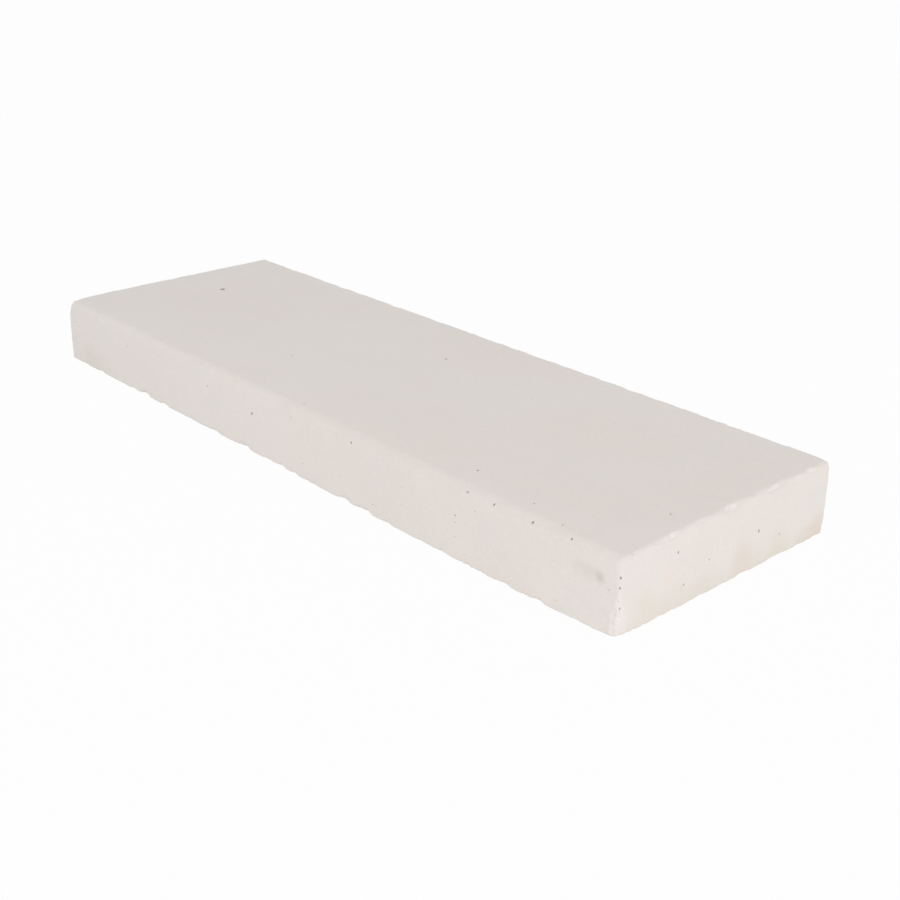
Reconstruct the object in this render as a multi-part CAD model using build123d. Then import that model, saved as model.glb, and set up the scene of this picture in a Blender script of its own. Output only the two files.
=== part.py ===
from build123d import *
import os

# Gymnastics chalk block: one bare slab of pressed magnesium carbonate, in millimetres.
#
# The slab lies flat. +X runs along its length, +Y across its width and +Z up through its thickness. The
# origin is the middle of the underside. A gymnast rubs the slab on the hands and grips, or breaks lumps off
# it, so nothing is fitted to it and nothing moves. Its edges are the press mould's, apart from the front long
# top edge, which is rubbed round. Its front side is bowed a little outwards, and two corners at the +X end
# are worn off.

# The slab as it leaves the press. WIDTH is taken where the bow is fullest.
LENGTH = 240.0
WIDTH = 80.0
THICKNESS = 20.0
FRONT_BOW = 1.0  # how much narrower the slab is at its ends
FULLEST_BOW = 85.0  # how far it is fullest from the middle, towards the +X end

# How far each edge is rounded.
RUBBED_EDGE_RADIUS = 3.0  # the front long top edge, which the hands rub
REAR_TOP_EDGE_RADIUS = 0.6
BOTTOM_EDGE_RADIUS = 0.6
END_EDGE_RADIUS = 0.4  # all round both end faces

# Lumps worn off two corners: how far each reaches along the length, across the width and up or down.
FRONT_BOTTOM_CHIP = (1.3, 2.2, 7.0)
REAR_TOP_CHIP = (3.4, 1.5, 1.7)

# Half-space cutters reach this far past the corner, which is more than any chip is wide.
CUTTER_REACH = 4 * max(*FRONT_BOTTOM_CHIP, *REAR_TOP_CHIP)


def pressed_bar():
    """The slab with its ends still square and each of its four long edges rounded by its own amount."""
    end = LENGTH / 2
    side = WIDTH / 2
    narrow_side = side - FRONT_BOW
    corners = [(-end, -narrow_side), (end, -narrow_side)]
    # The bow meets both ends squarely, so that the end edges can be rounded evenly.
    front = Spline(corners[0], (FULLEST_BOW, -side), corners[1], tangents=[(1, 0)] * 3)
    others = Polyline(corners[1], (end, side), (-end, side), corners[0])
    bar = extrude(make_face(front + others), THICKNESS)
    radii = {
        (-side, THICKNESS): RUBBED_EDGE_RADIUS,
        (side, THICKNESS): REAR_TOP_EDGE_RADIUS,
        (-side, 0): BOTTOM_EDGE_RADIUS,
        (side, 0): BOTTOM_EDGE_RADIUS,
    }
    for (y, z), radius in radii.items():
        long_edge = bar.edges().sort_by_distance((FULLEST_BOW, y, z))[0]
        bar = fillet(long_edge, radius)
    return bar


def round_end_edges(bar):
    """Rounds the closed loop of edges round each end face."""
    ends = [bar.faces().sort_by(Axis.X)[0], bar.faces().sort_by(Axis.X)[-1]]
    edges = [edge for face in ends for edge in face.edges()]
    return fillet(edges, END_EDGE_RADIUS)


def worn_corner(corner, chip):
    """Everything outside the flat chip that takes one of the slab's corners off.

    corner is the sharp corner's point, and chip holds how far the chip reaches from it along X, Y and Z.
    """
    inward = [-1 if corner.X > 0 else 1, -1 if corner.Y > 0 else 1, -1 if corner.Z > 0 else 1]
    reaches = [direction * reach for direction, reach in zip(inward, chip)]
    tips = [corner + Vector(*[r if axis == n else 0 for n, r in enumerate(reaches)]) for axis in range(3)]
    outward = (tips[1] - tips[0]).cross(tips[2] - tips[0]).normalized()
    if outward.dot(corner - tips[0]) < 0:
        outward = -outward
    middle = (tips[0] + tips[1] + tips[2]) / 3
    cutter = Box(CUTTER_REACH, CUTTER_REACH, CUTTER_REACH, align=(Align.CENTER, Align.CENTER, Align.MIN))
    return Plane(origin=middle, z_dir=outward) * cutter


def chalk_block():
    """The whole slab: the pressed bar, its rounded ends and its two worn corners."""
    slab = round_end_edges(pressed_bar())
    end = LENGTH / 2
    side = WIDTH / 2
    slab -= worn_corner(Vector(end, FRONT_BOW - side, 0), FRONT_BOTTOM_CHIP)
    slab -= worn_corner(Vector(end, side, THICKNESS), REAR_TOP_CHIP)
    slab.label = "chalk_block"
    return slab


os.makedirs("parts", exist_ok=True)
export_step(chalk_block(), "parts/chalk_block.step")
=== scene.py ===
import itertools
import logging
import math
from dataclasses import dataclass
from enum import Enum
from typing import Any, Sequence, Union

import bpy
import numpy as np
from mathutils import Matrix, Vector


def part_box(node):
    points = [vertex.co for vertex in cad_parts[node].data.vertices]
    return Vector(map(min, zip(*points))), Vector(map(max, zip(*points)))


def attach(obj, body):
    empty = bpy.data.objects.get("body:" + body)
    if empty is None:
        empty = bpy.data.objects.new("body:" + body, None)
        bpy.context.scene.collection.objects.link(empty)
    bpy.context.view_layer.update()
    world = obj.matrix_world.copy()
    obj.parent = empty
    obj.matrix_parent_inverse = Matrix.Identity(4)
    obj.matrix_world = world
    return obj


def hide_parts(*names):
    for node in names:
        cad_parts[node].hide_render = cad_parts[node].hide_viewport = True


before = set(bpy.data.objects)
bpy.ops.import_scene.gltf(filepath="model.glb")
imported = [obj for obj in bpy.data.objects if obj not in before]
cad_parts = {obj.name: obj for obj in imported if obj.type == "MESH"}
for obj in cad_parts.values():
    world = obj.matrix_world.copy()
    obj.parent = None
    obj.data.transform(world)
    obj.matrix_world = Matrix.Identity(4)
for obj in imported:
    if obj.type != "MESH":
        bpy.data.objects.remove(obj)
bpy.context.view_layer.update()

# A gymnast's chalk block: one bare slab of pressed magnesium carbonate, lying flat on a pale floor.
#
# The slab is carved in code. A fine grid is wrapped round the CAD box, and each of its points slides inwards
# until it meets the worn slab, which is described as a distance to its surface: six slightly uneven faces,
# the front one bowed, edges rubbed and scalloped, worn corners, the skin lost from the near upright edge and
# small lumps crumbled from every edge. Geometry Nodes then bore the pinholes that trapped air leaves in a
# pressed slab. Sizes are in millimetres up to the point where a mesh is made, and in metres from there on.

LOG = logging.getLogger("chalk_block")
MM = 0.001

# Large odd numbers that scramble a knot's place and seed into its random slope, and the bits that are kept.
PLACE_FACTORS = (73856093, 19349663, 83492791)
SEED_FACTOR = 2654435
SCRAMBLERS = (1274126177, 668265263)
KEPT_BITS = 0x7FFFFFFF
SLOPE_BITS = 0xFFFF
SLOPE_STEP = 1.0 / 32768.0

Triple = tuple[float, float, float]


class Side(Enum):
    """The slab's six faces: the axis each one looks along, and which way."""

    TOP = (2, 1)
    UNDERSIDE = (2, -1)
    FRONT = (1, -1)
    REAR = (1, 1)
    RIGHT_END = (0, 1)
    LEFT_END = (0, -1)

    @property
    def axis(self) -> int:
        """Number of the axis that the face looks along."""
        return self.value[0]

    @property
    def way(self) -> int:
        """Which way it looks along that axis, 1 or -1."""
        return self.value[1]


# ---------------------------------------------------------------------------------------------------------
# The slab's shape, as a distance to its surface
# ---------------------------------------------------------------------------------------------------------


def smoothstep(low: float, high: float, value: np.ndarray) -> np.ndarray:
    """Eases from 0 at low to 1 at high, which may be the smaller of the two."""
    share = np.clip((value - low) / (high - low), 0.0, 1.0)
    return share * share * (3.0 - 2.0 * share)


def round_off(first: np.ndarray, second: np.ndarray, radius: Union[float, np.ndarray]) -> np.ndarray:
    """Joins two faces into one solid edge and rounds that edge.

    Args:
        first: Distance to one face, positive outside it.
        second: Distance to the other face.
        radius: Radius of the edge between them, one for all points or one for each.

    Returns:
        Distance to the rounded solid that both faces bound.
    """
    corner = np.hypot(np.maximum(first + radius, 0.0), np.maximum(second + radius, 0.0))
    return np.minimum(np.maximum(first, second), -radius) + corner


@dataclass(frozen=True)
class Grain:
    """Smooth random relief that runs through space, about as wide as cell.

    gain stretches it towards -1 and 1, between which it is kept.
    """

    cell: float
    seed: int
    gain: float = 1.6

    def at(self, points: np.ndarray) -> np.ndarray:
        """Reads the relief.

        Args:
            points: Places in millimetres, one row each.

        Returns:
            One value for each place.
        """
        scaled = points / self.cell
        base = np.floor(scaled).astype(np.int64)
        part = scaled - base
        ease = part**3 * (part * (part * 6.0 - 15.0) + 10.0)
        total = np.zeros(len(points))
        for corner in itertools.product((0, 1), repeat=3):
            step = np.array(corner)
            share = np.prod(np.where(step == 1, ease, 1.0 - ease), axis=1)
            total += share * np.einsum("ij,ij->i", self._slopes(base + step), part - step)
        return np.clip(total * self.gain, -1.0, 1.0)

    def lifted(self, points: np.ndarray) -> np.ndarray:
        """The relief at each place, from 0 to 1 instead."""
        return 0.5 + 0.5 * self.at(points)

    def _slopes(self, knots: np.ndarray) -> np.ndarray:
        """Gives each knot a random slope, always the same for the same knot and seed.

        Args:
            knots: Whole-numbered places, one row each.

        Returns:
            One slope vector for each knot.
        """
        places = knots * np.array(PLACE_FACTORS)
        mixed = places[:, 0] ^ places[:, 1] ^ places[:, 2] ^ (self.seed * SEED_FACTOR)
        slopes = []
        for turn in range(3):
            mixed = ((mixed ^ (mixed >> 13)) * SCRAMBLERS[0] + turn) & KEPT_BITS
            mixed = ((mixed ^ (mixed >> 15)) * SCRAMBLERS[1]) & KEPT_BITS
            slopes.append((mixed >> 8 & SLOPE_BITS) * SLOPE_STEP - 1.0)
        return np.stack(slopes, axis=1)


@dataclass(frozen=True)
class Bite:
    """A lump that is missing: an egg-shaped hollow with rough walls, rounded by rim where it opens."""

    place: Triple
    reach: Triple
    roughness: float = 0.2
    rim: float = 0.25

    def near(self, points: np.ndarray, slack: float) -> np.ndarray:
        """Numbers of the points that the lump may touch, if they move by slack at most."""
        margin = np.array(self.reach) * (1.0 + self.roughness) + self.rim + slack
        return np.flatnonzero(np.all(np.abs(points - self.place) < margin, axis=1))

    def distance(self, points: np.ndarray, relief: np.ndarray) -> np.ndarray:
        """Distance to what the lump leaves, positive where the slab is gone.

        Args:
            points: Places in millimetres, one row each.
            relief: Random relief of the hollow's wall at each place.

        Returns:
            One distance for each place.
        """
        reach = np.array(self.reach)
        span = np.linalg.norm((points - self.place) / reach, axis=1)
        return (1.0 + self.roughness * relief - span) * reach.min()


@dataclass(frozen=True)
class Spall:
    """The skin that came off the near upright edge, from nothing at its top to its full width at its foot.

    along and across are how far it reaches over the long side and over the end. It starts at height top, has
    its full width below height full and is depth deep. Heights are from the slab's middle. raggedness is how
    far its outline strays, and unevenness and grit are how much its depth varies, all as shares.
    """

    along: float
    across: float
    top: float
    full: float
    depth: float
    raggedness: float = 0.22
    unevenness: float = 0.6
    grit: float = 0.4

    def distance(
        self, slab: np.ndarray, face: dict[Side, np.ndarray], height: np.ndarray, relief: "Relief"
    ) -> np.ndarray:
        """Distance to what is left of the slab, positive where it is gone.

        Args:
            slab: Distance to the slab before its skin came off.
            face: Distance to each of its faces.
            height: Height of each place.
            relief: The random relief there.

        Returns:
            One distance for each place.
        """
        from_end = -face[Side.RIGHT_END] / self.along
        from_side = -face[Side.FRONT] / self.across
        opened = np.clip((self.top - height) / (self.top - self.full), 0.0, 1.0)
        opened = opened + self.raggedness * relief.broken * (opened > 0.0)
        steepness = math.hypot(1.0 / self.along, 1.0 / self.across)
        lost = (opened - from_end - from_side) / steepness
        rough_depth = self.depth * (1.0 + self.unevenness * relief.broken + self.grit * relief.grit)
        return np.maximum(slab, np.minimum(lost, slab + np.maximum(rough_depth, 0.0)))


@dataclass(frozen=True)
class Crumbling:
    """Lumps lost all along the edges: how many to a metre of edge, their size and how far out they sat.

    nearest and furthest are shares of a lump's size. stretch is how many times longer than wide it can be.
    """

    per_metre: float
    smallest: float
    largest: float
    nearest: float
    furthest: float
    stretch: float
    seed: int

    def bites(self, half: np.ndarray) -> list[Bite]:
        """Scatters the lumps along all twelve edges.

        Args:
            half: Half the slab's size along each axis, with its middle at the origin.

        Returns:
            The hollows that they leave.
        """
        chance = np.random.default_rng(self.seed)
        found = []
        for axis in range(3):
            others = [other for other in range(3) if other != axis]
            for ways in itertools.product((-1, 1), repeat=2):
                count = int(2.0 * half[axis] * MM * self.per_metre)
                for _ in range(count):
                    size = self.smallest + (self.largest - self.smallest) * chance.random() ** 2
                    middle = np.zeros(3)
                    middle[axis] = chance.uniform(-half[axis], half[axis])
                    for other, way in zip(others, ways):
                        outwards = size * chance.uniform(self.nearest, self.furthest)
                        middle[other] = way * (half[other] + outwards)
                    reach = np.full(3, size)
                    reach[axis] *= chance.uniform(1.0, self.stretch)
                    found.append(Bite(tuple(middle), tuple(reach)))
        return found


@dataclass(frozen=True)
class Relief:
    """The slab's random relief at a set of places, which is read once and kept while they slide inwards."""

    waves: np.ndarray
    spread: np.ndarray
    scallops: np.ndarray
    broken: np.ndarray
    grit: np.ndarray
    near: list[np.ndarray]


@dataclass(frozen=True)
class SlabShape:
    """The worn slab. Lengths are in millimetres from the middle of the slab's box."""

    half: np.ndarray

    # Unevenness of the faces, always inwards from the box: how deep each layer is, and its grain.
    broad_wave: float = 0.10
    patch_wave: float = 0.04
    fine_wave: float = 0.03
    broad_grain: Grain = Grain(38.0, 11)
    patch_grain: Grain = Grain(9.0, 12)
    fine_grain: Grain = Grain(2.6, 13)

    # The front face: how far its ends lie inside its fullest place, and where that is.
    bow: float = 1.05
    fullest_bow: float = 85.0

    # The rubbing has also leant the front face back and drooped the top towards it: how much, and from where.
    front_lean: float = 0.45
    lean_start: float = -4.0
    top_droop: float = 0.55
    droop_start: float = 18.0

    # How far along the slab the rubbed front edge is rounded how much, and how much that varies.
    rubbed_stations: tuple[float, ...] = (-120.0, -75.0, -25.0, 25.0, 75.0, 100.0, 120.0)
    rubbed_radii: tuple[float, ...] = (2.3, 2.3, 3.0, 3.7, 4.0, 3.2, 2.0)
    rubbed_spread: float = 1.2
    spread_grains: tuple[Grain, Grain] = (Grain(16.0, 21), Grain(5.0, 22))

    # The other edges: their radius, by what share that of the ends varies, and how much a scallop adds to it.
    rear_top_radius: float = 0.35
    bottom_radius: float = 0.3
    end_radius: float = 0.6
    end_spread: float = 0.55
    bottom_scallop: float = 2.4
    other_scallop: float = 1.2
    scallop_grain: Grain = Grain(5.5, 25)

    # The right-hand end's top edge is rounded more, above one height and fully above another.
    end_top_radius: float = 1.3
    end_top_spread: float = 1.4
    end_top_start: float = 4.0
    end_top_full: float = 8.0

    # So is the left-hand front top corner, within one distance and fully within another.
    far_corner_radius: float = 0.9
    far_corner_reach: float = 6.0
    far_corner_full: float = 1.0

    # What came off the right-hand rear top corner and the near upright edge, and the grains of broken chalk.
    worn_corner: Triple = (3.3, 1.4, 1.6)
    worn_corner_rim: float = 0.6
    worn_corner_roughness: float = 0.15
    spall: Spall = Spall(along=1.9, across=3.6, top=2.3, full=-4.8, depth=0.34)
    broken_grain: Grain = Grain(1.8, 31)
    grit_grain: Grain = Grain(0.9, 41)

    flakes: Crumbling = Crumbling(
        per_metre=120.0, smallest=1.0, largest=2.3, nearest=0.42, furthest=0.60, stretch=1.9, seed=5
    )
    crumbs: Crumbling = Crumbling(
        per_metre=210.0, smallest=0.4, largest=1.0, nearest=0.2, furthest=0.52, stretch=1.4, seed=6
    )

    def bites(self) -> list[Bite]:
        """Every lump that is missing, the ones that stand out first."""
        length, width, height = self.half
        standing_out = [
            # The dent near the near corner, and the shallow scoop beside it.
            Bite((114.4, 0.6 - width, 3.2), (0.8, 0.5, 1.2), 0.3, 0.5),
            Bite((110.8, -0.45 - width, 3.7), (4.4, 1.5, 1.8), 0.15, 0.6),
            # Notches along the end's bottom edge.
            Bite((length + 0.3, -24.2, -height - 0.1), (0.9, 1.5, 1.0)),
            Bite((length + 0.3, 5.7, -height - 0.2), (1.0, 1.7, 1.1)),
            Bite((length + 0.3, -32.5, -height - 0.1), (0.9, 1.1, 0.8)),
            # Notches along its top edge.
            Bite((length + 0.2, -21.3, height + 0.1), (1.3, 2.2, 1.3)),
            Bite((length + 0.2, -11.0, height + 0.2), (1.3, 2.6, 1.2)),
            Bite((length + 0.1, 0.0, height + 0.2), (1.8, 3.9, 1.5)),
            Bite((length + 0.1, 17.5, height + 0.3), (1.6, 4.4, 1.5)),
            Bite((length + 0.1, 32.0, height + 0.2), (1.4, 2.6, 1.2)),
            # Specks broken from the near upright edge.
            Bite((length, 1.0 - width, 6.6), (0.55, 0.6, 0.8), 0.4, 0.1),
            Bite((length - 0.1, 1.0 - width, 3.4), (0.6, 0.7, 1.1), 0.4, 0.1),
            Bite((length, 1.1 - width, 0.2), (0.5, 0.6, 0.9), 0.4, 0.1),
            Bite((length - 0.2, 2.6 - width, -5.4), (0.6, 0.7, 0.6), 0.4, 0.1),
            Bite((length - 1.1, 0.9 - width, -4.2), (0.5, 0.5, 0.7), 0.4, 0.1),
        ]
        return standing_out + self.flakes.bites(self.half) + self.crumbs.bites(self.half)

    def relief(self, points: np.ndarray, slack: float) -> Relief:
        """Reads the random relief.

        Args:
            points: Places in millimetres, one row each.
            slack: How far the places may move while this relief is used.

        Returns:
            The relief at those places.
        """
        layers = (
            (self.broad_wave, self.broad_grain),
            (self.patch_wave, self.patch_grain),
            (self.fine_wave, self.fine_grain),
        )
        broad_spread, close_spread = (grain.at(points) for grain in self.spread_grains)
        return Relief(
            waves=sum(wave * grain.lifted(points) for wave, grain in layers),
            spread=0.5 * broad_spread + 0.5 * close_spread,
            scallops=self.scallop_grain.at(points),
            broken=self.broken_grain.at(points),
            grit=self.grit_grain.at(points),
            near=[bite.near(points, slack) for bite in self.bites()],
        )

    def faces(self, points: np.ndarray, waves: Union[float, np.ndarray] = 0.0) -> dict[Side, np.ndarray]:
        """Distance to each of the six faces.

        Args:
            points: Places in millimetres, one row each.
            waves: How far each face lies inside the box there, before its own bow, lean and droop.

        Returns:
            The distances to each face.
        """
        face = {side: side.way * points[:, side.axis] - self.half[side.axis] + waves for side in Side}
        length, width, height = self.half
        left = smoothstep(-length, self.fullest_bow, points[:, 0])
        right = smoothstep(length, self.fullest_bow, points[:, 0])
        up = np.maximum(points[:, 2] - self.lean_start, 0.0) / (height - self.lean_start)
        out = np.maximum(-points[:, 1] - self.droop_start, 0.0) / (width - self.droop_start)
        face[Side.FRONT] += self.bow * (1.0 - np.minimum(left, right)) + self.front_lean * up**2
        face[Side.TOP] += self.top_droop * out**2
        return face

    def rubbed(self, points: np.ndarray, face: dict[Side, np.ndarray], relief: Relief) -> np.ndarray:
        """Distance to the slab as rubbing leaves it, with its edges rounded and nothing broken off.

        Args:
            points: Places in millimetres from the middle of the box, one row each.
            face: Distance to each face there.
            relief: The random relief there.

        Returns:
            One distance for each place, positive outside.
        """
        scallop = np.maximum(relief.scallops, 0.0)
        front_top = np.interp(points[:, 0], self.rubbed_stations, self.rubbed_radii)
        front_top += self.rubbed_spread * relief.spread
        rear_top = self.rear_top_radius + self.other_scallop * scallop
        bottom = self.bottom_radius + self.bottom_scallop * scallop
        bar = np.maximum.reduce(
            [
                round_off(face[Side.FRONT], face[Side.TOP], front_top),
                round_off(face[Side.REAR], face[Side.TOP], rear_top),
                round_off(face[Side.FRONT], face[Side.UNDERSIDE], bottom),
                round_off(face[Side.REAR], face[Side.UNDERSIDE], bottom),
            ]
        )
        end_radius = self.end_radius * (1.0 + self.end_spread * relief.spread) + self.other_scallop * scallop
        near_top = smoothstep(self.end_top_start, self.end_top_full, points[:, 2])
        end_top = np.maximum(self.end_top_radius + self.end_top_spread * relief.scallops - end_radius, 0.0)
        from_corner = np.linalg.norm(points - self.half * (-1.0, -1.0, 1.0), axis=1)
        near_corner = smoothstep(self.far_corner_reach, self.far_corner_full, from_corner)
        left_radius = end_radius + self.far_corner_radius * near_corner
        slab = round_off(bar, face[Side.RIGHT_END], end_radius + end_top * near_top)
        return round_off(slab, face[Side.LEFT_END], left_radius)

    def distance(self, points: np.ndarray, relief: Relief) -> np.ndarray:
        """Distance to the worn slab.

        Args:
            points: Places in millimetres from the middle of the box, one row each.
            relief: The random relief there.

        Returns:
            One distance for each place, positive outside.
        """
        face = self.faces(points, relief.waves)
        slab = self.rubbed(points, face, relief)
        slab = self.spall.distance(slab, face, points[:, 2], relief)
        slab = round_off(slab, self.worn_flat(points, relief.broken), self.worn_corner_rim)
        for bite, near in zip(self.bites(), relief.near):
            slab[near] = round_off(slab[near], bite.distance(points[near], relief.grit[near]), bite.rim)
        return slab

    def worn_flat(self, points: np.ndarray, relief: np.ndarray) -> np.ndarray:
        """Distance to the small flat worn across the right-hand rear top corner.

        Args:
            points: Places in millimetres from the middle of the box, one row each.
            relief: The random relief of broken chalk there.

        Returns:
            One distance for each place, positive where the corner is gone.
        """
        reach = np.array(self.worn_corner)
        depth = 1.0 / np.linalg.norm(1.0 / reach)
        inwards = ((self.half - points) / reach).sum(axis=1)
        return (1.0 - inwards + self.worn_corner_roughness * relief) * depth


# ---------------------------------------------------------------------------------------------------------
# Node trees, written as arithmetic
# ---------------------------------------------------------------------------------------------------------


class Wire:
    """The output of a node, which Python's arithmetic works on."""

    def __init__(self, bench: "Bench", socket: bpy.types.NodeSocket) -> None:
        """Keeps the bench that holds the node, and the node's output."""
        self.bench = bench
        self.socket = socket

    def __add__(self, other: "Feed") -> "Wire":
        """self + other."""
        return self.bench.sum("ADD", self, other)

    def __radd__(self, other: "Feed") -> "Wire":
        """other + self."""
        return self.bench.sum("ADD", other, self)

    def __sub__(self, other: "Feed") -> "Wire":
        """self - other."""
        return self.bench.sum("SUBTRACT", self, other)

    def __rsub__(self, other: "Feed") -> "Wire":
        """other - self."""
        return self.bench.sum("SUBTRACT", other, self)

    def __mul__(self, other: "Feed") -> "Wire":
        """self * other."""
        return self.bench.sum("MULTIPLY", self, other)

    def __rmul__(self, other: "Feed") -> "Wire":
        """other * self."""
        return self.bench.sum("MULTIPLY", other, self)

    def __truediv__(self, other: "Feed") -> "Wire":
        """self / other."""
        return self.bench.sum("DIVIDE", self, other)

    def __pow__(self, other: "Feed") -> "Wire":
        """self to the power other."""
        return self.bench.sum("POWER", self, other)


Feed = Union[Wire, float, bool, Sequence[float], bpy.types.ID]


class Placed:
    """A node on the bench. Square brackets give one of its outputs, by name or number."""

    def __init__(self, bench: "Bench", node: bpy.types.Node) -> None:
        """Keeps the bench and the node."""
        self.bench = bench
        self.node = node

    def __getitem__(self, name: Union[str, int]) -> Wire:
        """The output of that name or number."""
        return Wire(self.bench, self.node.outputs[name])


class Bench:
    """A node tree that is being built."""

    def __init__(self, tree: bpy.types.NodeTree) -> None:
        """Starts on an empty tree."""
        self.tree = tree
        tree.nodes.clear()

    def add(
        self, kind: str, settings: dict[str, Any] | None = None, feeds: dict[Any, Feed] | None = None
    ) -> Placed:
        """Places one node.

        Args:
            kind: The node's type.
            settings: Its settings, which come before its sockets.
            feeds: A value or a wire for each input, by name or number.

        Returns:
            The node.
        """
        node = self.tree.nodes.new(kind)
        for name, value in (settings or {}).items():
            setattr(node, name, value)
        for name, value in (feeds or {}).items():
            if isinstance(value, Wire):
                self.tree.links.new(value.socket, node.inputs[name])
            else:
                node.inputs[name].default_value = value
        return Placed(self, node)

    def sum(self, operation: str, first: Feed, second: Feed) -> Wire:
        """One Math node."""
        return self.add("ShaderNodeMath", {"operation": operation}, {0: first, 1: second})["Value"]

    def clamp(self, value: Feed) -> Wire:
        """value, kept between 0 and 1."""
        return self.add("ShaderNodeClamp", None, {"Value": value})["Result"]

    def ease(self, value: Feed, low: float, high: float, start: float = 0.0, end: float = 1.0) -> Wire:
        """Eases from start to end as value goes from low to high."""
        settings = {"interpolation_type": "SMOOTHSTEP"}
        feeds = {"Value": value, "From Min": low, "From Max": high, "To Min": start, "To Max": end}
        return self.add("ShaderNodeMapRange", settings, feeds)["Result"]

    def vector(self, operation: str, first: Feed, second: Feed) -> Wire:
        """One Vector Math node that gives a vector."""
        return self.add("ShaderNodeVectorMath", {"operation": operation}, {0: first, 1: second})["Vector"]

    def span(self, first: Feed, second: Feed) -> Wire:
        """Distance between two places."""
        return self.add("ShaderNodeVectorMath", {"operation": "DISTANCE"}, {0: first, 1: second})["Value"]

    def colour(self, share: Feed, under: Feed, over: Feed) -> Wire:
        """Lays one colour over another.

        Args:
            share: How much of the upper colour shows.
            under: The lower colour.
            over: The upper colour.

        Returns:
            The mixed colour.
        """
        settings = {"data_type": "RGBA", "blend_type": "MIX"}
        return self.add("ShaderNodeMix", settings, {0: share, 6: under, 7: over})[2]


@dataclass(frozen=True)
class Tone:
    """A colour as it is seen on a screen, each part from 0 to 255."""

    red: int
    green: int
    blue: int

    def linear(self) -> tuple[float, float, float, float]:
        """The colour as a shader takes it."""
        parts = [part / 255.0 for part in (self.red, self.green, self.blue)]
        light = [part / 12.92 if part <= 0.04045 else ((part + 0.055) / 1.055) ** 2.4 for part in parts]
        return (light[0], light[1], light[2], 1.0)


# ---------------------------------------------------------------------------------------------------------
# The chalk's finish
# ---------------------------------------------------------------------------------------------------------

# HOLLOW marks the walls of the pinholes, which the finish darkens with painted shade; BROKEN marks fresh
# chalk.
HOLLOW = "hollow"
BROKEN = "broken"


@dataclass(frozen=True)
class Stain:
    """A soft-edged patch of another tone. Its place and reach are in millimetres in the slab's frame."""

    place: Triple
    reach: Triple
    tone: Tone
    strength: float


@dataclass(frozen=True)
class Mottle:
    """A tone that shows in random patches about width millimetres wide.

    It begins to show where their relief passes start, and has its full strength where that passes full.
    """

    tone: Tone
    width: float
    detail: float
    start: float
    full: float
    strength: float


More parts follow.
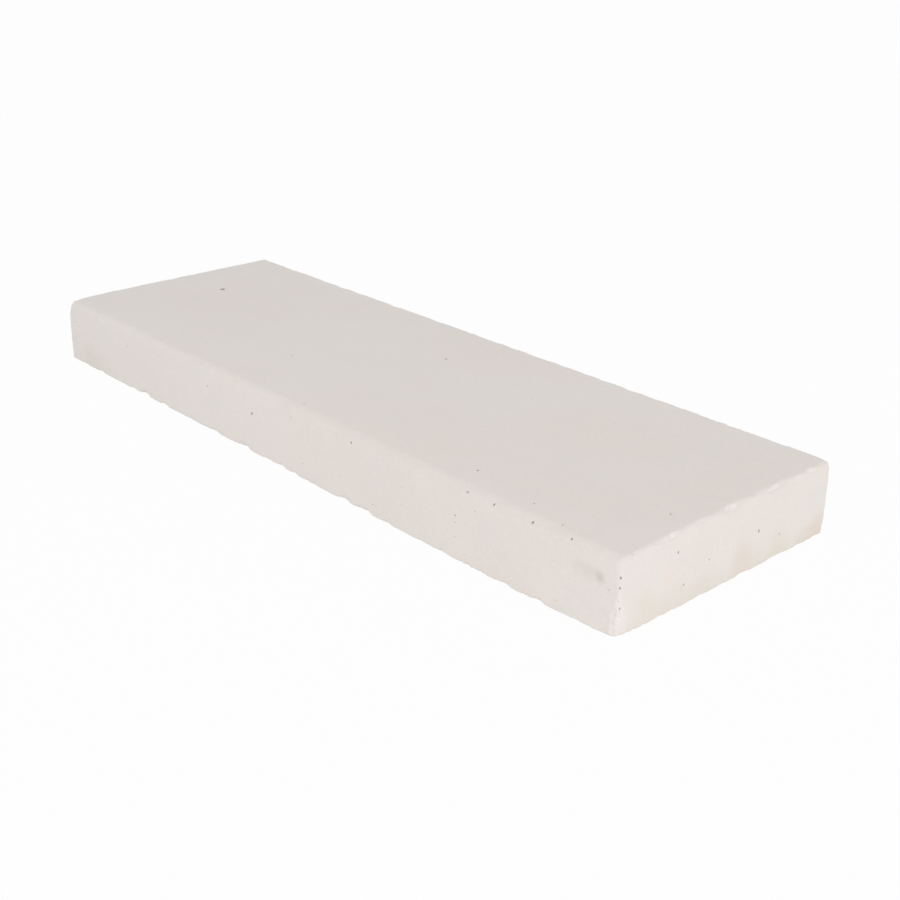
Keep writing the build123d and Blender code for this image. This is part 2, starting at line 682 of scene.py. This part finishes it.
@dataclass(frozen=True)
class PressedChalk:
    """Pressed magnesium carbonate: a warm off-white, matt powder with faint mottling and soiled spots."""

    # The clean powder, its broad warm patches, smaller cool ones and pale grains, and the dark flecks on it.
    body: Tone = Tone(229, 223, 219)
    mottling: tuple[Mottle, ...] = (
        Mottle(Tone(227, 219, 213), 34.0, 2.0, 0.40, 0.66, 0.45),
        Mottle(Tone(225, 222, 218), 9.0, 3.0, 0.52, 0.75, 0.5),
        Mottle(Tone(234, 229, 225), 1.1, 3.0, 0.52, 0.72, 0.45),
    )
    flecks: Mottle = Mottle(Tone(196, 184, 172), 1.9, 1.0, 0.76, 0.82, 0.3)

    # Freshly broken chalk, and painted shade for the walls of a pinhole, standing in for the shadow inside it.
    fresh: Tone = Tone(243, 238, 235)
    fresh_share: float = 0.45
    painted_pit_shade: Tone = Tone(146, 131, 118)
    painted_pit_shade_share: float = 0.6

    # The powder's relief, too small to be in the mesh: widths in millimetres, and how much each one counts.
    grain_width: float = 0.55
    grain_share: float = 0.6
    lump_width: float = 2.4
    lump_share: float = 0.8
    pore_spacing: float = 1.7
    pore_share: float = 0.7
    pore_rim: float = 0.20
    pore_floor: float = 0.08
    relief_depth: float = 0.12
    relief_strength: float = 0.5

    # A stain's outline, in reaches from its middle: where it fades out, where it is full, how far it strays.
    stain_rim: float = 1.15
    stain_heart: float = 0.1
    stain_raggedness: float = 2.4
    ragged_width: float = 9.0
    ragged_detail: float = 3.0
    stains: tuple[Stain, ...] = (
        Stain((110.5, -40.0, 13.6), (6.0, 4.0, 2.6), Tone(216, 205, 193), 0.4),
        Stain((114.4, -39.5, 13.2), (1.6, 4.0, 2.0), Tone(196, 184, 173), 0.4),
        Stain((120.0, 0.0, 0.0), (5.0, 75.0, 8.0), Tone(223, 216, 206), 0.55),
        Stain((120.0, 5.5, 5.0), (5.0, 6.0, 7.5), Tone(223, 211, 201), 0.4),
        Stain((120.0, 35.0, 1.5), (6.0, 9.0, 6.5), Tone(219, 206, 192), 0.45),
        Stain((120.0, 22.0, 2.5), (5.0, 10.0, 4.0), Tone(221, 218, 203), 0.4),
        Stain((120.0, -30.0, 4.0), (5.0, 8.0, 5.5), Tone(227, 221, 210), 0.35),
        Stain((120.0, -21.0, 12.0), (5.0, 4.5, 7.0), Tone(236, 221, 214), 0.4),
        Stain((-104.0, -39.5, 2.0), (14.0, 6.0, 6.0), Tone(220, 212, 203), 0.35),
    )

    def mould(self) -> bpy.types.Material:
        """Builds the material.

        Returns:
            The material, ready for a mesh.
        """
        material = bpy.data.materials.new("pressed_chalk")
        material.use_nodes = True
        bench = Bench(material.node_tree)
        place = bench.add("ShaderNodeTexCoord")["Object"]
        surface = bench.add(
            "ShaderNodeBsdfPrincipled",
            None,
            {
                "Base Color": self._colour(bench, place),
                "Roughness": 0.95,
                "Diffuse Roughness": 0.6,
                "Specular IOR Level": 0.2,
                "Normal": self._relief(bench, place),
            },
        )
        bench.add("ShaderNodeOutputMaterial", None, {"Surface": surface["BSDF"]})
        return material

    def _noise(self, bench: Bench, place: Wire, width: float, detail: float) -> Wire:
        """Random relief about width millimetres wide, around 0.5."""
        feeds = {"Vector": place, "Scale": 1.0 / (width * MM), "Detail": detail, "Roughness": 0.5}
        return bench.add("ShaderNodeTexNoise", {"noise_dimensions": "3D"}, feeds)["Fac"]

    def _colour(self, bench: Bench, place: Wire) -> Wire:
        """Mixes the chalk's colour, and paints shade into the pinholes.

        Args:
            bench: The material's node tree.
            place: The place on the slab.

        Returns:
            The colour at each place.
        """
        colour: Feed = self.body.linear()
        for mottle in self.mottling:
            colour = self._mottled(bench, place, mottle, colour)
        ragged = self._noise(bench, place, self.ragged_width, self.ragged_detail)
        for stain in self.stains:
            colour = bench.colour(self._stain(bench, place, ragged, stain), colour, stain.tone.linear())
        colour = self._mottled(bench, place, self.flecks, colour)
        broken = bench.add("ShaderNodeAttribute", {"attribute_name": BROKEN})["Fac"]
        colour = bench.colour(broken * self.fresh_share, colour, self.fresh.linear())
        # Painted shade: the walls of the pinholes are darkened, in place of the shadow that falls inside them.
        hollow = bench.add("ShaderNodeAttribute", {"attribute_name": HOLLOW})["Fac"]
        return bench.colour(hollow * self.painted_pit_shade_share, colour, self.painted_pit_shade.linear())

    def _mottled(self, bench: Bench, place: Wire, mottle: Mottle, under: Feed) -> Wire:
        """Lays a mottle over a colour.

        Args:
            bench: The material's node tree.
            place: The place on the slab.
            mottle: The mottle.
            under: The colour below it.

        Returns:
            The mottled colour.
        """
        relief = self._noise(bench, place, mottle.width, mottle.detail)
        share = bench.ease(relief, mottle.start, mottle.full, 0.0, mottle.strength)
        return bench.colour(share, under, mottle.tone.linear())

    def _stain(self, bench: Bench, place: Wire, ragged: Wire, stain: Stain) -> Wire:
        """Works out how strongly a stain shows.

        Args:
            bench: The material's node tree.
            place: The place on the slab.
            ragged: Random relief that makes its outline stray.
            stain: The stain.

        Returns:
            Its share of the colour at each place.
        """
        middle = tuple(part * MM for part in stain.place)
        reach = tuple(part * MM for part in stain.reach)
        offset = bench.vector("DIVIDE", bench.vector("SUBTRACT", place, middle), reach)
        span = bench.span(offset, (0.0, 0.0, 0.0)) + (ragged - 0.5) * self.stain_raggedness
        return bench.ease(span, self.stain_rim, self.stain_heart, 0.0, stain.strength)

    def _relief(self, bench: Bench, place: Wire) -> Wire:
        """Roughens the surface with powder grain and tiny pores.

        Args:
            bench: The material's node tree.
            place: The place on the slab.

        Returns:
            The direction that the surface faces at each place.
        """
        grains = self._noise(bench, place, self.grain_width, detail=4.0)
        lumps = self._noise(bench, place, self.lump_width, detail=2.0)
        pores = bench.add(
            "ShaderNodeTexVoronoi",
            {"feature": "F1"},
            {"Vector": place, "Scale": 1.0 / (self.pore_spacing * MM), "Randomness": 1.0},
        )["Distance"]
        sunk = bench.ease(pores, self.pore_rim, self.pore_floor, 0.0, self.pore_share)
        height = grains * self.grain_share + lumps * self.lump_share - sunk
        feeds = {"Strength": self.relief_strength, "Distance": self.relief_depth * MM, "Height": height}
        return bench.add("ShaderNodeBump", None, feeds)["Normal"]


# ---------------------------------------------------------------------------------------------------------
# The pinholes
# ---------------------------------------------------------------------------------------------------------


@dataclass(frozen=True)
class Pinhole:
    """One pinhole that is worth placing one by one: where it opens and its radius, in millimetres."""

    place: Triple
    radius: float


@dataclass(frozen=True)
class Pinholes:
    """The pinholes of a pressed slab: most are scattered by chance, and a few are placed."""

    number_per_square_metre: float = 6500.0
    closest: float = 1.6
    smallest: float = 0.12
    largest: float = 0.27
    smallness: float = 3.0
    seed: int = 3

    # They are close together within busy_reach of the busy edge, and thin out along busy_length of it from
    # its right-hand end to far_share. Everywhere else their share is quiet_share.
    busy_reach: float = 16.0
    busy_length: float = 170.0
    far_share: float = 0.25
    quiet_share: float = 0.05

    # How a hole departs from a ball: its stretch along each axis, and the width and depth of its roughness.
    least_stretch: float = 0.7
    most_stretch: float = 1.25
    rough_width: float = 0.8
    rough_depth: float = 0.3
    turn_seed: int = 1
    stretch_seed: int = 2

    # Edges sharper than this, in degrees, stay crisp.
    crisp_angle: float = 50.0

    placed: tuple[Pinhole, ...] = (
        # On the top.
        Pinhole((-97.8, 7.0, 20.0), 1.15),
        Pinhole((3.1, 17.5, 20.0), 0.55),
        Pinhole((-28.7, -14.9, 20.0), 0.34),
        Pinhole((66.7, -30.1, 19.9), 0.44),
        Pinhole((88.5, -33.0, 19.8), 0.34),
        Pinhole((112.8, -13.9, 20.0), 0.34),
        # Along the rubbed edge.
        Pinhole((72.0, -38.4, 18.4), 0.30),
        Pinhole((81.0, -38.4, 18.4), 0.38),
        Pinhole((93.4, -38.3, 18.5), 0.40),
        Pinhole((105.0, -37.9, 18.6), 0.30),
        # On the long side.
        Pinhole((-37.4, -39.2, 13.6), 0.30),
        Pinhole((-15.0, -39.3, 11.9), 0.46),
        Pinhole((8.6, -39.6, 4.8), 0.18),
        Pinhole((25.0, -39.8, 6.6), 0.20),
        Pinhole((50.1, -39.8, 7.4), 0.18),
        Pinhole((69.4, -39.8, 11.9), 0.22),
        Pinhole((69.6, -39.8, 10.0), 0.17),
        Pinhole((69.5, -39.9, 6.3), 0.20),
        Pinhole((76.0, -39.85, 15.4), 0.18),
        # Down the near upright edge.
        Pinhole((119.6, -38.3, 17.3), 0.32),
        Pinhole((119.7, -38.4, 15.2), 0.38),
        Pinhole((119.7, -38.5, 12.8), 0.28),
        Pinhole((119.6, -38.4, 9.3), 0.34),
        Pinhole((119.6, -37.8, 7.4), 0.36),
        Pinhole((119.0, -38.6, 5.2), 0.30),
        # On the end.
        Pinhole((120.0, 11.5, 10.0), 0.42),
        Pinhole((120.0, -19.3, 14.9), 0.38),
        Pinhole((120.0, -16.3, 5.7), 0.34),
        Pinhole((120.0, 20.4, 6.3), 0.28),
        Pinhole((120.0, -7.5, 9.0), 0.26),
    )

    def seeds(self) -> bpy.types.Object:
        """A loose point for each placed pinhole, with its radius.

        Returns:
            An object for the node tree to read, which is removed afterwards.
        """
        mesh = bpy.data.meshes.new("placed_pinholes")
        mesh.from_pydata([tuple(part * MM for part in hole.place) for hole in self.placed], [], [])
        radii = mesh.attributes.new("radius_m", "FLOAT", "POINT")
        for value, hole in zip(radii.data, self.placed):
            value.value = hole.radius * MM
        seeds = bpy.data.objects.new("placed_pinholes", mesh)
        bpy.context.scene.collection.objects.link(seeds)
        return seeds

    def tree(self) -> bpy.types.NodeTree:
        """Builds the node tree that bores the pinholes.

        Returns:
            A geometry node tree whose inputs are named for what they set.
        """
        tree = bpy.data.node_groups.new("pinholes", "GeometryNodeTree")
        inputs = (
            ("Slab", "NodeSocketGeometry"),
            ("Placed Pinholes", "NodeSocketObject"),
            ("Number Per Square Metre", "NodeSocketFloat"),
            ("Closest Spacing", "NodeSocketFloat"),
            ("Smallest Radius", "NodeSocketFloat"),
            ("Largest Radius", "NodeSocketFloat"),
            ("Busy Edge", "NodeSocketVector"),
            ("Busy Reach", "NodeSocketFloat"),
            ("Quiet Share", "NodeSocketFloat"),
            ("Seed", "NodeSocketInt"),
            ("Finish", "NodeSocketMaterial"),
        )
        for name, kind in inputs:
            tree.interface.new_socket(name, in_out="INPUT", socket_type=kind)
        tree.interface.new_socket("Slab", in_out="OUTPUT", socket_type="NodeSocketGeometry")
        bench = Bench(tree)
        given = bench.add("NodeGroupInput")
        holes = self._scatter(bench, given)
        cutters = self._cutters(bench, given, holes)
        bored = bench.add(
            "GeometryNodeMeshBoolean",
            {"operation": "DIFFERENCE", "solver": "MANIFOLD"},
            {"Mesh 1": given["Slab"], "Mesh 2": cutters},
        )["Mesh"]
        angle = bench.add("GeometryNodeInputMeshEdgeAngle")["Unsigned Angle"]
        sharpest = math.radians(self.crisp_angle)
        crisp = bench.add("FunctionNodeCompare", {"operation": "GREATER_THAN"}, {0: angle, 1: sharpest})
        smooth = bench.add("GeometryNodeSetShadeSmooth", {"domain": "FACE"}, {0: bored, "Shade Smooth": True})
        rims = bench.add(
            "GeometryNodeSetShadeSmooth",
            {"domain": "EDGE"},
            {0: smooth[0], "Selection": crisp["Result"], "Shade Smooth": False},
        )
        whole = bench.add("GeometryNodeRealizeInstances", None, {0: rims[0]})
        dressed = bench.add("GeometryNodeSetMaterial", None, {0: whole[0], "Material": given["Finish"]})
        bench.add("NodeGroupOutput", None, {0: dressed[0]})
        return tree

    def _scatter(self, bench: Bench, given: Placed) -> Wire:
        """Scatters pinholes, close together near the busy edge and its right-hand end.

        Args:
            bench: The node tree.
            given: Its inputs.

        Returns:
            A point where each one opens, with its radius.
        """
        place = bench.add("GeometryNodeInputPosition")["Position"]
        offset = bench.vector("SUBTRACT", place, given["Busy Edge"])
        parts = bench.add("ShaderNodeSeparateXYZ", None, {0: offset})
        flat = bench.add("ShaderNodeCombineXYZ", None, {"Y": parts["Y"], "Z": parts["Z"]})["Vector"]
        from_edge = bench.span(flat, (0.0, 0.0, 0.0)) / given["Busy Reach"]
        near_edge = bench.ease(from_edge, 1.0, 0.0)
        near_end = bench.ease(parts["X"], -self.busy_length * MM, 0.0, self.far_share, 1.0)
        share = bench.clamp(given["Quiet Share"] + near_edge * near_end)
        scattered = bench.add(
            "GeometryNodeDistributePointsOnFaces",
            {"distribute_method": "POISSON"},
            {
                "Mesh": given["Slab"],
                "Distance Min": given["Closest Spacing"],
                "Density Max": given["Number Per Square Metre"],
                "Density Factor": share,
                "Seed": given["Seed"],
            },
        )["Points"]
        chance = bench.add(
            "FunctionNodeRandomValue", {"data_type": "FLOAT"}, {"Min": 0.0, "Max": 1.0, "Seed": given["Seed"]}
        )["Value"]
        growth = (given["Largest Radius"] - given["Smallest Radius"]) * chance**self.smallness
        radius = given["Smallest Radius"] + growth
        return bench.add(
            "GeometryNodeStoreNamedAttribute",
            {"data_type": "FLOAT", "domain": "POINT"},
            {"Geometry": scattered, "Name": "radius_m", "Value": radius},
        )["Geometry"]

    def _cutters(self, bench: Bench, given: Placed, scattered: Wire) -> Wire:
        """Puts a small rough ball on every pinhole, marked so that the finish can darken its walls with
        painted shade.

        Args:
            bench: The node tree.
            given: Its inputs.
            scattered: The scattered points, to which the placed ones are added.

        Returns:
            The balls, to be cut away.
        """
        settings = {"transform_space": "ORIGINAL"}
        seeds = bench.add("GeometryNodeObjectInfo", settings, {0: given["Placed Pinholes"]})
        placed = bench.add("GeometryNodeMeshToPoints", None, {"Mesh": seeds["Geometry"]})["Points"]
        join = bench.add("GeometryNodeJoinGeometry", None, {0: placed})
        bench.tree.links.new(scattered.socket, join.node.inputs[0])
        ball = bench.add("GeometryNodeMeshIcoSphere", None, {"Radius": 1.0, "Subdivisions": 2})["Mesh"]
        radius = bench.add(
            "GeometryNodeInputNamedAttribute", {"data_type": "FLOAT"}, {"Name": "radius_m"}
        )["Attribute"]
        turn = bench.add(
            "FunctionNodeRandomValue",
            {"data_type": "FLOAT_VECTOR"},
            {"Min": (0.0,) * 3, "Max": (math.tau,) * 3, "Seed": self.turn_seed},
        )["Value"]
        stretch = bench.add(
            "FunctionNodeRandomValue",
            {"data_type": "FLOAT_VECTOR"},
            {"Min": (self.least_stretch,) * 3, "Max": (self.most_stretch,) * 3, "Seed": self.stretch_seed},
        )["Value"]
        size = bench.add(
            "ShaderNodeVectorMath", {"operation": "SCALE"}, {0: stretch, "Scale": radius}
        )["Vector"]
        balls = bench.add(
            "GeometryNodeInstanceOnPoints",
            None,
            {"Points": join["Geometry"], "Instance": ball, "Rotation": turn, "Scale": size},
        )["Instances"]
        loose = bench.add("GeometryNodeRealizeInstances", None, {0: balls})["Geometry"]
        feeds = {"Scale": 1.0 / (self.rough_width * MM), "Detail": 1.0}
        relief = bench.add("ShaderNodeTexNoise", {"noise_dimensions": "3D"}, feeds)["Color"]
        centred = bench.vector("SUBTRACT", relief, (0.5, 0.5, 0.5))
        nudge = bench.vector("MULTIPLY", centred, (self.rough_depth * MM,) * 3)
        rough = bench.add("GeometryNodeSetPosition", None, {"Geometry": loose, "Offset": nudge})["Geometry"]
        # The mark on the cut walls is where the finish paints shade into the pinhole.
        return bench.add(
            "GeometryNodeStoreNamedAttribute",
            {"data_type": "FLOAT", "domain": "FACE"},
            {"Geometry": rough, "Name": HOLLOW, "Value": 1.0},
        )["Geometry"]

    def bore(self, slab: bpy.types.Object, busy_edge: Vector, finish: bpy.types.Material) -> None:
        """Adds the modifier that bores the pinholes.

        Args:
            slab: The solid slab.
            busy_edge: The end of the edge that has the most pinholes, in metres.
            finish: Material of the finished slab.
        """
        tree = self.tree()
        values = {
            "Placed Pinholes": self.seeds(),
            "Number Per Square Metre": self.number_per_square_metre,
            "Closest Spacing": self.closest * MM,
            "Smallest Radius": self.smallest * MM,
            "Largest Radius": self.largest * MM,
            "Busy Edge": busy_edge,
            "Busy Reach": self.busy_reach * MM,
            "Quiet Share": self.quiet_share,
            "Seed": self.seed,
            "Finish": finish,
        }
        modifier = slab.modifiers.new("pinholes", "NODES")
        modifier.node_group = tree
        for item in tree.interface.items_tree:
            if item.in_out == "INPUT" and item.name in values:
                modifier[item.identifier] = values[item.name]


# ---------------------------------------------------------------------------------------------------------
# The slab
# ---------------------------------------------------------------------------------------------------------


@dataclass(frozen=True)
class ChalkSlab:
    """The chalk block's one piece. Spacings are those of the grid that is carved, in millimetres.

    The grid is finest within edge_band of an edge. Its points head for a core that lies core_depth inside the
    box. Each step takes them carving_pace of the gap that is left, but never past deepest_share of the way to
    the core, and looks only at lumps within deepest_cut of where they start. kept_share of the faces stay when
    the slab is thinned. Fresh chalk begins to show fresh_start below the rubbed surface, and shows fully at
    fresh_full.
    """

    low: Vector
    high: Vector
    edge_spacing: float = 0.28
    length_spacing: float = 0.38
    face_spacing: float = 0.8
    edge_band: float = 8.0
    core_depth: float = 7.0
    deepest_cut: float = 4.0
    carving_steps: int = 10
    carving_pace: float = 0.9
    deepest_share: float = 0.95
    kept_share: float = 0.27
    fresh_start: float = 0.12
    fresh_full: float = 0.60

    def build(self, finish: bpy.types.Material, pinholes: Pinholes) -> bpy.types.Object:
        """Carves the slab, thins its flat stretches, bores it and dresses it.

        Args:
            finish: The chalk's material.
            pinholes: The pinholes to bore.

        Returns:
            The finished piece, at the origin.
        """
        half = np.array(self.high - self.low) / (2.0 * MM)
        middle = np.array(self.high + self.low) / 2.0
        shape = SlabShape(half)
        places, quads = self._wrap(half)
        carved = self._carve(places, shape)
        mesh = bpy.data.meshes.new("chalk_slab_carved")
        mesh.from_pydata(carved * MM + middle, [], quads.tolist())
        rough = bpy.data.objects.new("chalk_slab_carved", mesh)
        bpy.context.scene.collection.objects.link(rough)
        thin = rough.modifiers.new("thin", "DECIMATE")
        thin.ratio = self.kept_share
        busy_edge = Vector((self.high.x, self.low.y, self.high.z))
        pinholes.bore(rough, busy_edge, finish)
        slab = self._settle(rough)
        self._mark_breaks(slab.data, shape, middle)
        return slab

    def _stations(self, half: float, spacing: float) -> np.ndarray:
        """Spaces the grid along one axis, closer together near both ends.

        Args:
            half: Half the box's size along that axis.
            spacing: The spacing between the two bands near the edges.

        Returns:
            The places along the axis, in order.
        """
        inner = half - self.edge_band
        if inner <= self.edge_band:
            return np.linspace(-half, half, 2 * int(half / self.edge_spacing) + 1)
        band = np.linspace(inner, half, int(self.edge_band / self.edge_spacing) + 1)
        middle = np.linspace(-inner, inner, int(2.0 * inner / spacing) + 1)
        return np.concatenate([-band[::-1], middle[1:-1], band])

    def _wrap(self, half: np.ndarray) -> tuple[np.ndarray, np.ndarray]:
        """Wraps a grid round the box.

        Args:
            half: Half the box's size along each axis, in millimetres.

        Returns:
            The grid's places, and the four corners of each of its cells.
        """
        spacings = (self.length_spacing, self.face_spacing, self.edge_spacing)
        axes = [self._stations(reach, spacing) for reach, spacing in zip(half, spacings)]
        counts = [len(axis) for axis in axes]
        skin = np.ones(counts, bool)
        skin[1:-1, 1:-1, 1:-1] = False
        numbers = np.full(counts, -1)
        numbers[skin] = np.arange(skin.sum())
        places = np.stack([sheet[skin] for sheet in np.meshgrid(*axes, indexing="ij")], axis=1)
        sheets = (
            (numbers[:, :, -1], False),
            (numbers[:, :, 0], True),
            (numbers[:, 0, :], False),
            (numbers[:, -1, :], True),
            (numbers[-1, :, :], False),
            (numbers[0, :, :], True),
        )
        quads = []
        for sheet, turned in sheets:
            corners = np.stack([sheet[:-1, :-1], sheet[1:, :-1], sheet[1:, 1:], sheet[:-1, 1:]], axis=-1)
            corners = corners.reshape(-1, 4)
            quads.append(corners[:, ::-1] if turned else corners)
        return places, np.concatenate(quads)

    def _carve(self, places: np.ndarray, shape: SlabShape) -> np.ndarray:
        """Slides each point straight towards the slab's core until it meets the worn surface.

        Args:
            places: Points on the box, in millimetres.
            shape: The worn slab.

        Returns:
            The points on the worn slab.
        """
        core = shape.half - self.core_depth
        inwards = np.clip(places, -core, core) - places
        room = np.linalg.norm(inwards, axis=1, keepdims=True)
        inwards = inwards / room
        relief = shape.relief(places, self.deepest_cut)
        moved = np.zeros_like(room)
        for _ in range(self.carving_steps):
            gap = shape.distance(places + inwards * moved, relief)[:, None]
            moved = np.clip(moved + gap * self.carving_pace, 0.0, room * self.deepest_share)
        return places + inwards * moved

    def _settle(self, rough: bpy.types.Object) -> bpy.types.Object:
        """Turns the evaluated slab into a plain mesh and clears away what made it.

        Args:
            rough: The carved slab with its live modifiers.

        Returns:
            A new object with no modifiers.
        """
        graph = bpy.context.evaluated_depsgraph_get()
        mesh = bpy.data.meshes.new_from_object(rough.evaluated_get(graph))
        mesh.name = "chalk_slab"
        slab = bpy.data.objects.new("chalk_slab", mesh)
        bpy.context.scene.collection.objects.link(slab)
        for helper in (rough, bpy.data.objects["placed_pinholes"]):
            bpy.data.objects.remove(helper)
        return slab

    def _mark_breaks(self, mesh: bpy.types.Mesh, shape: SlabShape, middle: np.ndarray) -> None:
        """Marks where fresh chalk shows: wherever the surface lies well inside what rubbing would leave.

        Args:
            mesh: The finished slab's mesh.
            shape: The worn slab.
            middle: The middle of its box, in metres.
        """
        places = np.empty(len(mesh.vertices) * 3)
        mesh.vertices.foreach_get("co", places)
        points = (places.reshape(-1, 3) - middle) / MM
        relief = shape.relief(points, 0.0)
        depth = -shape.rubbed(points, shape.faces(points, relief.waves), relief)
        marks = mesh.attributes.new(BROKEN, "FLOAT", "POINT")
        fresh = smoothstep(self.fresh_start, self.fresh_full, depth)
        marks.data.foreach_set("value", fresh.astype(np.float32))


# ---------------------------------------------------------------------------------------------------------
# The studio
# ---------------------------------------------------------------------------------------------------------


@dataclass(frozen=True)
class Softbox:
    """A square soft lamp. Its place and aim are in metres."""

    name: str
    place: Triple
    aim: Triple
    width: float
    watts: float

    def hang(self) -> None:
        """Hangs the lamp, turned towards its aim."""
        lamp = bpy.data.lights.new(self.name, "AREA")
        lamp.shape = "SQUARE"
        lamp.size = self.width
        lamp.energy = self.watts
        box = bpy.data.objects.new(self.name, lamp)
        bpy.context.scene.collection.objects.link(box)
        heading = Vector(self.aim) - Vector(self.place)
        turned = heading.to_track_quat("-Z", "Y").to_matrix().to_4x4()
        box.matrix_world = Matrix.Translation(self.place) @ turned


@dataclass(frozen=True)
class Viewpoint:
    """Where the camera stands, what it looks at, its lens in millimetres and its tilt in degrees."""

    place: Triple = (0.28262, -0.23967, 0.15513)
    aim: Triple = (0.03683, -0.01163, 0.0101)
    lens: float = 54.705
    tilt: float = 0.923

    def stand(self) -> None:
        """Places the camera and makes it the scene's."""
        body = bpy.data.cameras.new("camera")
        body.lens = self.lens
        body.sensor_width = 36.0
        body.clip_start = 0.005
        body.clip_end = 50.0
        camera = bpy.data.objects.new("camera", body)
        bpy.context.scene.collection.objects.link(camera)
        heading = (Vector(self.aim) - Vector(self.place)).to_track_quat("-Z", "Y").to_matrix()
        rolled = heading @ Matrix.Rotation(math.radians(self.tilt), 3, "Z")
        camera.matrix_world = Matrix.Translation(self.place) @ rolled.to_4x4()
        bpy.context.scene.camera = camera


@dataclass(frozen=True)
class Studio:
    """A pale floor under an even sky, with a softbox off the near corner and a weaker one beyond the end.

    The floor lies floor_gap millimetres below the slab and is floor_radius metres in radius.
    """

    sky_light: float = 0.62
    floor_radius: float = 3.0
    floor_sides: int = 96
    floor_gap: float = 0.05
    floor_tone: Tone = Tone(236, 236, 236)
    floor_glow: float = 0.96
    lamps: tuple[Softbox, ...] = (
        Softbox("key_softbox", (0.90, -0.86, 0.50), (0.03, 0.0, 0.01), width=0.8, watts=7.1),
        Softbox("end_softbox", (1.40, 0.0, 0.56), (0.0, 0.0, 0.01), width=0.9, watts=1.5),
    )

    def build(self) -> None:
        """Sets the light, the floor, the lamps and the picture's colour handling."""
        self._sky()
        self._floor()
        for lamp in self.lamps:
            lamp.hang()
        bpy.context.scene.view_settings.view_transform = "Standard"

    def _seen_straight(self, bench: Bench) -> Wire:
        """1 for what the camera, a reflection or a clear piece looks at, and 0 for light that bounces."""
        path = bench.add("ShaderNodeLightPath")
        return bench.clamp(path["Is Camera Ray"] + path["Is Glossy Ray"] + path["Is Transmission Ray"])

    def _sky(self) -> None:
        """An even sky that lights the slab softly and is white to look at."""
        world = bpy.data.worlds.new("studio")
        world.use_nodes = True
        bpy.context.scene.world = world
        bench = Bench(world.node_tree)
        light = bench.add("ShaderNodeBackground", None, {"Color": (1.0,) * 4, "Strength": self.sky_light})
        white = bench.add("ShaderNodeBackground", None, {"Color": (1.0,) * 4, "Strength": 1.0})
        shown = bench.add(
            "ShaderNodeMixShader",
            None,
            {0: self._seen_straight(bench), 1: light["Background"], 2: white["Background"]},
        )
        bench.add("ShaderNodeOutputWorld", None, {"Surface": shown["Shader"]})

    def _floor(self) -> None:
        """A round floor just under the slab, near white, that keeps the slab's soft shadow."""
        rim = [
            (self.floor_radius * math.cos(turn), self.floor_radius * math.sin(turn), -self.floor_gap * MM)
            for turn in np.linspace(0.0, math.tau, self.floor_sides, endpoint=False)
        ]
        mesh = bpy.data.meshes.new("floor")
        mesh.from_pydata(rim, [], [list(range(len(rim)))])
        mesh.materials.append(self._floor_finish())
        floor = bpy.data.objects.new("floor", mesh)
        bpy.context.scene.collection.objects.link(floor)

    def _floor_finish(self) -> bpy.types.Material:
        """Mixes matt white with a glow where the floor is looked at, so that it reads as white.

        Returns:
            The floor's material.
        """
        material = bpy.data.materials.new("studio_floor")
        material.use_nodes = True
        bench = Bench(material.node_tree)
        matt = bench.add("ShaderNodeBsdfDiffuse", None, {"Color": self.floor_tone.linear()})
        glow = bench.add("ShaderNodeEmission", None, {"Color": (1.0,) * 4, "Strength": 1.0})
        share = self._seen_straight(bench) * self.floor_glow
        shown = bench.add("ShaderNodeMixShader", None, {0: share, 1: matt["BSDF"], 2: glow["Emission"]})
        bench.add("ShaderNodeOutputMaterial", None, {"Surface": shown["Shader"]})
        return material


def main() -> None:
    """Builds the chalk block and the studio round it."""
    logging.basicConfig(level=logging.INFO, format="%(name)s: %(message)s")
    low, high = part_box("chalk_block")
    finish = PressedChalk().mould()
    slab = ChalkSlab(low, high).build(finish, Pinholes())
    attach(slab, "root")
    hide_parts("chalk_block")
    LOG.info("%s: %d faces", slab.name, len(slab.data.polygons))
    Studio().build()
    Viewpoint().stand()


if __name__ == "__main__":
    main()
